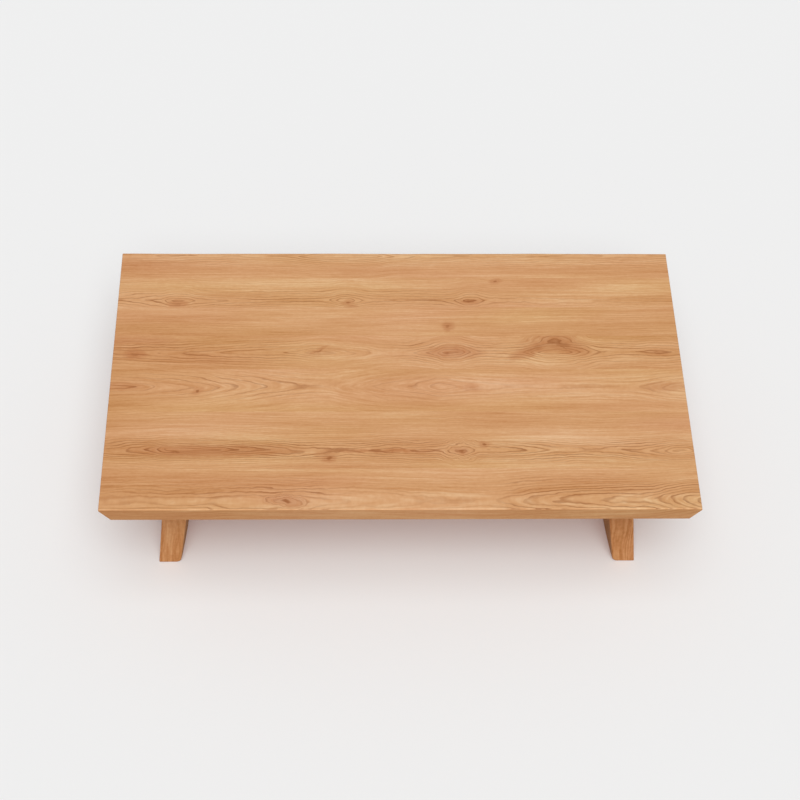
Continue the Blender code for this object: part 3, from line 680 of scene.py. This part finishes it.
# Figure of the boards, from the back: where the heart runs (mm from the table's middle), the ring width (mm),
# how pointed the arches are, how far the lines spread and how strong they are along the board, how many rings
# lie over the pith along the board, the tone across it from its front edge to its back edge, how much lighter
# its right end is than its left, and its knots: x, y, half length, half width (mm), rings that bend round it,
# redness, darkness and tilt (degrees)
BOARDS = (
    dict(
        heart=365,
        ring=5,
        lines=((-600, 0.5), (600, 0.5)),
        pith=((-600, 4.25), (-240, 3.75), (-126, 1.25), (-60, 1.5), (0, 3.5), (200, 4.5), (600, 5)),
        tone=((0, 0.52), (0.1, 0.50), (0.3, 0.41), (0.5, 0.53), (0.7, 0.62), (1, 0.64)),
        lean=0.03,
    ),
    dict(
        heart=226,
        ring=6,
        lines=((-600, 0.8), (160, 0.75), (240, 0.35), (600, 0.3)),
        pith=(
            (-600, 3.4), (-570, 3), (-507, 2), (-470, 0.6), (-429, 2), (-357, 3), (-246, 3.4), (-160, 3.3),
            (-130, 2.3), (-110, 1.5), (-85, 2.3), (-50, 3.3), (40, 3.4), (110, 3.3), (138, 2.3), (160, 1.4),
            (188, 2.3), (230, 3.3), (600, 3.4),
        ),
        knots=(
            (-470, 213, 24, 13, 0, 0.8, 0.25, 0),
            (-105, 218, 14, 8, 0, 0.7, 0.6, 0),
            (-101, 199, 20, 12, 0, 0.8, 0.5, 15),
            (160, 220, 26, 10, 0, 0.6, 0.4, 0),
            (219, 286, 14, 11, 0, 0.7, 0.6, 25),
        ),
        tone=((0, 0.58), (0.3, 0.53), (0.5, 0.61), (0.7, 0.63), (1, 0.53)),
        lean=-0.04,
    ),
    dict(
        heart=262,
        ring=5.5,
        pith=((-600, 6), (0, 5), (600, 6)),
        knots=((110, 145, 15, 15, 0, 0.8, 0.4, 30),),
        tone=((0, 0.55), (0.4, 0.52), (0.8, 0.49), (1, 0.52)),
    ),
    dict(
        heart=66,
        ring=6,
        lines=(
            (-600, 0.8), (-260, 0.75), (-190, 0.5), (-120, 0.32), (-60, 0.25), (0, 0.4), (60, 0.75),
            (600, 0.8),
        ),
        pith=(
            (-600, 6.5), (-420, 5.5), (-312, 4.6), (-216, 3.6), (-165, 2.6), (-120, 3.2), (-78, 4), (0, 5.5),
            (57, 4.5), (85, 3.2), (114, 1.7), (150, 3.2), (192, 4.25), (240, 4.25), (300, 2.25), (336, 1.25),
            (390, 2.5), (438, 4.5), (500, 5), (553, 4.4), (600, 5),
        ),
        knots=(
            (-551, 104, 90, 14, 0, 0.5, 0, 0),
            (-554, 60, 24, 16, 0, 0.8, 0.35, 0),
            (-168, 72, 30, 5, 0, 0.8, 0.55, 38),
            (-160, 66, 44, 12, 0, 0.45, 0.0, 15),
            (118, 66, 62, 20, 0, 0.8, 0.05, 0),
            (104, 63, 16, 12, 0, 1.0, 0.4, 25),
            (134, 70, 30, 10, 0, 1.0, 0.15, -15),
            (296, 80, 70, 16, 0, 1.0, 0.3, 30),
            (338, 98, 30, 22, 0.8, 1.0, 0.3, 0),
            (338, 98, 46, 28, 0, 1.0, 0.4, 0),
            (350, 90, 64, 24, 0, 1.0, 0.45, -24),
            (330, 88, 70, 22, 0, 0.8, 0.1, 0),
            (362, 84, 42, 14, 0, 0.9, 0.1, -36),
            (352, 80, 30, 4, 0, 0.6, 0.6, -38),
            (553, 64, 26, 10, 0, 0.6, 0.3, 0),
        ),
        tone=((0, 0.46), (0.3, 0.50), (0.5, 0.42), (0.7, 0.46), (0.9, 0.44), (1, 0.40)),
        lean=0.07,
    ),
    dict(
        heart=-35,
        ring=8,
        arch=1.6,
        spread=(20, 50),
        lines=(
            (-600, 0.6), (-200, 0.54), (-150, 0.2), (-80, 0.08), (-50, 0.3), (0, 0.36), (90, 0.45),
            (180, 0.25), (460, 0.25), (560, 0.55), (600, 0.55),
        ),
        pith=(
            (-600, 0.4), (-540, 1), (-498, 2), (-408, 3), (-372, 4), (-324, 5), (-273, 6), (-204, 7),
            (-165, 7.1), (-110, 6.2), (-70, 5.3), (-45, 4.75), (0, 4.05), (33, 3.55), (60, 3), (74, 2.6),
            (88, 2.4), (106, 2.6), (125, 3), (170, 3.55), (200, 3.75), (300, 4), (420, 4), (490, 3.9),
            (520, 3.5), (565, 2.5), (600, 1.9),
        ),
        knots=(
            (-575, -33, 45, 13, 0, 0.5, 0.1, 0),
            (-418, -47, 14, 10, 0, 0.6, 0.7, 30),
            (152, -38, 24, 10, 0, 0.5, 0.1, 0),
            (560, -35, 48, 16, 0, 0.6, 0, 0),
        ),
        tone=((0, 0.50), (0.1, 0.47), (0.3, 0.58), (0.5, 0.60), (0.7, 0.60), (1, 0.54)),
        lean=0.19,
    ),
    dict(
        heart=-215,
        ring=4.6,
        arch=1.6,
        lines=((-600, 0.5), (-520, 0.95), (-200, 1), (100, 0.9), (600, 0.8)),
        pith=(
            (-600, 4.5), (-516, 3), (-480, 1), (-456, 0.1), (-420, 0.4), (-372, 1), (-342, 2), (-288, 3),
            (-219, 4), (-144, 4.3), (-60, 4.05), (54, 3.2), (98, 2.7), (123, 1.6), (148, 2.1), (190, 2.2),
            (250, 2.6), (279, 3), (335, 4), (420, 4.5), (474, 4), (510, 3), (540, 2), (570, 1), (600, 2),
        ),
        knots=(
            (-370, -216, 175, 17, 0, 1.0, 0.12, 0),
            (-456, -217, 34, 9, 0, 1.0, 0.6, 0),
            (-40, -217, 120, 6, 0, 0.9, 0.35, 0),
            (-150, -224, 26, 13, 0, 0.7, 0.2, 10),
            (-143, -236, 17, 13, 0, 0.9, 0.7, 0),
            (124, -217, 19, 11, 0.6, 0.9, 0.6, 0),
            (174, -200, 12, 8, 0, 0.7, 0.7, 0),
        ),
        tone=((0, 0.55), (0.3, 0.54), (0.5, 0.59), (0.62, 0.60), (0.75, 0.47), (1, 0.61)),
        lean=0.12,
    ),
    dict(
        heart=-352,
        ring=5,
        arch=1.9,
        spread=(30, 70),
        lines=(
            (-600, 0.3), (-430, 0.45), (-320, 0.75), (-180, 0.8), (-120, 0.2), (180, 0.2), (240, 0.8),
            (340, 0.9), (600, 0.9),
        ),
        pith=(
            (-600, 9.9), (-430, 9.7), (-392, 9.3), (-340, 8.8), (-290, 9.1), (-250, 9.4), (-200, 9.5),
            (-120, 9.8), (-60, 10.2), (0, 10.6), (100, 11.2), (180, 11.4), (212, 11), (262, 10), (321, 9),
            (446, 8), (508, 7), (533, 6), (554, 5), (575, 4), (600, 3.2),
        ),
        knots=(
            (-229, -352, 46, 15, 2.4, 0.8, 0, -5),
            (-229, -352, 38, 13, 0, 0.9, 0.8, -10),
        ),
        tone=((0, 0.69), (0.3, 0.60), (0.5, 0.46), (0.7, 0.53), (1, 0.61)),
        lean=0.12,
    ),
)
BOARD_SEED = 3.7  # step from board to board

for index, figure in enumerate(BOARDS, 1):
    low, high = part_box(f"top_board_{index}")
    figure = dict(figure, heart=figure["heart"] * MM, ring=figure["ring"] * MM)
    name = f"oiled_plain_sawn_wood_board_{index}"
    finish = grown_wood(name, X, Y, Z, face=TOP, edges=(low.y, high.y), seed=BOARD_SEED * index, **figure)
    make_board(index, finish)

# Figure of the staves: the grain is upright and each comes from its own plank, so sines of its seed place
# its heart and the crest of its arches. CREST is that crest's height (mm) and COVER the rings over the pith
# there, each as a middle, a swing and a factor of the seed.
STAVE_SEEDS = (31.0, 5.3, 17)  # the first, and the steps from stave to stave and from side to side
STAVE_HEART_SWING = 9 * MM
CREST = (110, 120, 2.3)
COVER = (3.1, 1.9, 1.1)
UNDER_CREST = (130, 2.2)  # how far below the crest (mm) the pith lies deeper, and by how many rings
OVER_CREST = (150, 1.8)  # the same above it
STAVE_PITH = 7  # rings over the pith far from the crest
STAVE_TONE = ((0, 0.38), (0.5, 0.34), (1, 0.40))
STAVE_BOLD = 1.7

for side_name, side in SIDES.items():
    splay = (OUTER_SPLAY + INNER_SPLAY) / 2
    upright = (-side * math.sin(splay), 0, math.cos(splay))
    outward = (side * math.cos(splay), 0, math.sin(splay))
    for index in range(1, STAVE_COUNT + 1):
        low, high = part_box(f"{side_name}_leg_stave_{index}")
        seed = STAVE_SEEDS[0] + STAVE_SEEDS[1] * index + STAVE_SEEDS[2] * side
        crest, cover = (middle + swing * math.sin(seed * turn) for middle, swing, turn in (CREST, COVER))
        pith = (
            (-600, STAVE_PITH),
            (crest - UNDER_CREST[0], cover + UNDER_CREST[1]),
            (crest, cover),
            (crest + OVER_CREST[0], cover + OVER_CREST[1]),
            (600, STAVE_PITH),
        )
        finish = grown_wood(
            f"oiled_plain_sawn_wood_{side_name}_stave_{index}",
            upright,
            Y,
            outward,
            heart=(low.y + high.y) / 2 + STAVE_HEART_SWING * math.sin(seed),
            face=math.cos(splay) * (HALF_LENGTH - LEG_END_SETBACK),
            pith=pith,
            tone=STAVE_TONE,
            edges=(low.y, high.y),
            seed=seed,
            # fainter painted shade on the leg's front face
            edge_shade=STAVE_EDGE_SHADE,
            bold=STAVE_BOLD,
        )
        make_stave(side_name, side, index, finish)

felt_finish = felt()
for side_name in SIDES:
    for end in ("front", "back"):
        make_pad(f"{end}_{side_name}_foot_pad", felt_finish)

# Pieces that keep their solids' shapes. Their hearts lie aside of the middle, and the wedges' far off.
RAIL_HEART_ASIDE = 3 * MM
RAIL_PITH = ((-600, 2.4), (-200, 4), (150, 1.8), (600, 3.2))
RAIL_SEED = 71.0
TONGUE_SEED = 83.0
BATTEN_HEART_ASIDE = 10 * MM
BATTEN_PITH = ((-600, 5), (-100, 2.4), (200, 4), (600, 3))
BATTEN_SEED = 50  # for each metre from the middle
WEDGE_HEART = 50 * MM
WEDGE_FACE = 200 * MM
WEDGE_SEED = 91.0

low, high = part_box("stretcher")
rail = grown_wood(
    "oiled_plain_sawn_wood_stretcher",
    X,
    Z,
    FRONTWARD,
    heart=(low.z + high.z) / 2 + RAIL_HEART_ASIDE,
    face=-low.y,
    pith=RAIL_PITH,
    edges=(low.z, high.z),
    seed=RAIL_SEED,
)
refinish("stretcher", rail)
raw = grown_wood(
    "unoiled_sawn_wood",
    Y,
    X,
    Z,
    heart=0.0,
    face=UNDERSIDE,
    pith=STRAIGHT,
    seed=TONGUE_SEED,
    palette=RAW,
    roughness=RAW_ROUGHNESS,
)
for index in range(1, BOARD_COUNT):
    refinish(f"loose_tongue_{index}", raw)
for side_name in SIDES:
    low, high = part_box(f"{side_name}_batten")
    bar = grown_wood(
        f"oiled_plain_sawn_wood_{side_name}_batten",
        Y,
        X,
        DOWNWARD,
        heart=(low.x + high.x) / 2 + BATTEN_HEART_ASIDE,
        face=-low.z,
        pith=BATTEN_PITH,
        edges=(low.x, high.x),
        seed=low.x * BATTEN_SEED,
    )
    refinish(f"{side_name}_batten", bar)
    refinish(f"{side_name}_groove_plug", bar)
    peg = grown_wood(
        f"dark_split_wood_{side_name}_wedges",
        X,
        Y,
        Z,
        heart=WEDGE_HEART,
        face=WEDGE_FACE,
        pith=STRAIGHT,
        seed=WEDGE_SEED,
        palette=DARK,
        line_colour=LATE_BLACK,
    )
    for level in ("upper", "lower"):
        refinish(f"{side_name}_{level}_wedge", peg)

# Floor, light and camera

FLOOR_HALF = 40.0
BACKDROP_COLOUR = "#EEEEEE"
SHADOW_GLOW = "#745551"  # what the viewer still sees of the floor in full shadow
FLOOR_BOUNCE = "#C4BAB1"  # how much light the floor throws back at the table
FILL_STRENGTH = 0.296
# Soft lamps: strength, elevation and width, in degrees
LIGHTS = {"front_softbox": (1.671, 50, 30), "overhead_softbox": (1.077, 66, 42)}
LIGHT_AZIMUTH = 2.0
# Camera, fitted to the edges and corners of the top and to the feet
SENSOR = 36.0
LENS = 103.45
CAMERA_PLACE = (-0.1177, -3.3739, 3.7707)
CAMERA_TURN = (43.814, -1.006, -1.047)  # degrees


def studio_paper():
    """Matt rolled paper: pale and even, without gloss, and clear from below.

    The viewer sees a faint warm glow in its full shadow, and it throws less light back at the table than it
    shows.
    """
    material = bpy.data.materials.new("matt_pale_studio_paper")
    material.use_nodes = True
    tree = material.node_tree
    shader = tree.nodes["Principled BSDF"]
    seen = put(tree, "LightPath", out="Is Camera Ray")
    open_floor = [level - glow for level, glow in zip(linear(BACKDROP_COLOUR)[:3], linear(SHADOW_GLOW))]
    sheet = put(tree, "Mix", {0: seen, 6: linear(FLOOR_BOUNCE), 7: (*open_floor, 1)}, out=2, data_type="RGBA")
    tree.links.new(sheet, shader.inputs["Base Color"])
    shader.inputs["Roughness"].default_value = 1.0
    shader.inputs["Specular IOR Level"].default_value = 0.0
    glow = put(tree, "Emission", {"Color": linear(SHADOW_GLOW), "Strength": seen})
    lit = put(tree, "AddShader", {0: shader.outputs[0], 1: glow})
    under = put(tree, "NewGeometry", out="Backfacing")
    clear = put(tree, "BsdfTransparent")
    both = put(tree, "MixShader", {0: under, 1: lit, 2: clear})
    tree.links.new(both, tree.nodes["Material Output"].inputs["Surface"])
    return material


def make_floor():
    """A wide flat square that the table stands on."""
    corners = np.array([(-1, -1, 0), (1, -1, 0), (1, 1, 0), (-1, 1, 0)]) * FLOOR_HALF
    mesh = bpy.data.meshes.new("floor")
    mesh.from_pydata(corners.tolist(), [], [(0, 1, 2, 3)])
    mesh.materials.append(studio_paper())
    floor = bpy.data.objects.new("floor", mesh)
    bpy.context.scene.collection.objects.link(floor)


def make_light():
    """Soft lamps from the front and from above, and an even fill from all round behind a pale backdrop."""
    world = bpy.data.worlds.new("studio")
    world.use_nodes = True
    bpy.context.scene.world = world
    tree = world.node_tree
    seen = put(tree, "LightPath", out="Is Camera Ray")
    fill = (FILL_STRENGTH, FILL_STRENGTH, FILL_STRENGTH, 1.0)
    level = put(tree, "Mix", {0: seen, 6: fill, 7: linear(BACKDROP_COLOUR)}, out=2, data_type="RGBA")
    tree.links.new(level, tree.nodes["Background"].inputs["Color"])
    for name, (strength, elevation, width) in LIGHTS.items():
        lamp = bpy.data.lights.new(name, "SUN")
        lamp.energy = strength
        lamp.angle = math.radians(width)
        light = bpy.data.objects.new(name, lamp)
        light.rotation_euler = (math.radians(90 - elevation), 0, math.radians(LIGHT_AZIMUTH))
        bpy.context.scene.collection.objects.link(light)


def make_camera():
    """The camera at the photograph's viewing angle."""
    lens = bpy.data.cameras.new("camera")
    lens.sensor_width = SENSOR
    lens.lens = LENS
    camera = bpy.data.objects.new("camera", lens)
    camera.location = CAMERA_PLACE
    camera.rotation_euler = tuple(math.radians(turn) for turn in CAMERA_TURN)
    bpy.context.scene.collection.objects.link(camera)
    bpy.context.scene.camera = camera


make_floor()
make_light()
make_camera()
bpy.context.scene.view_settings.view_transform = "Standard"
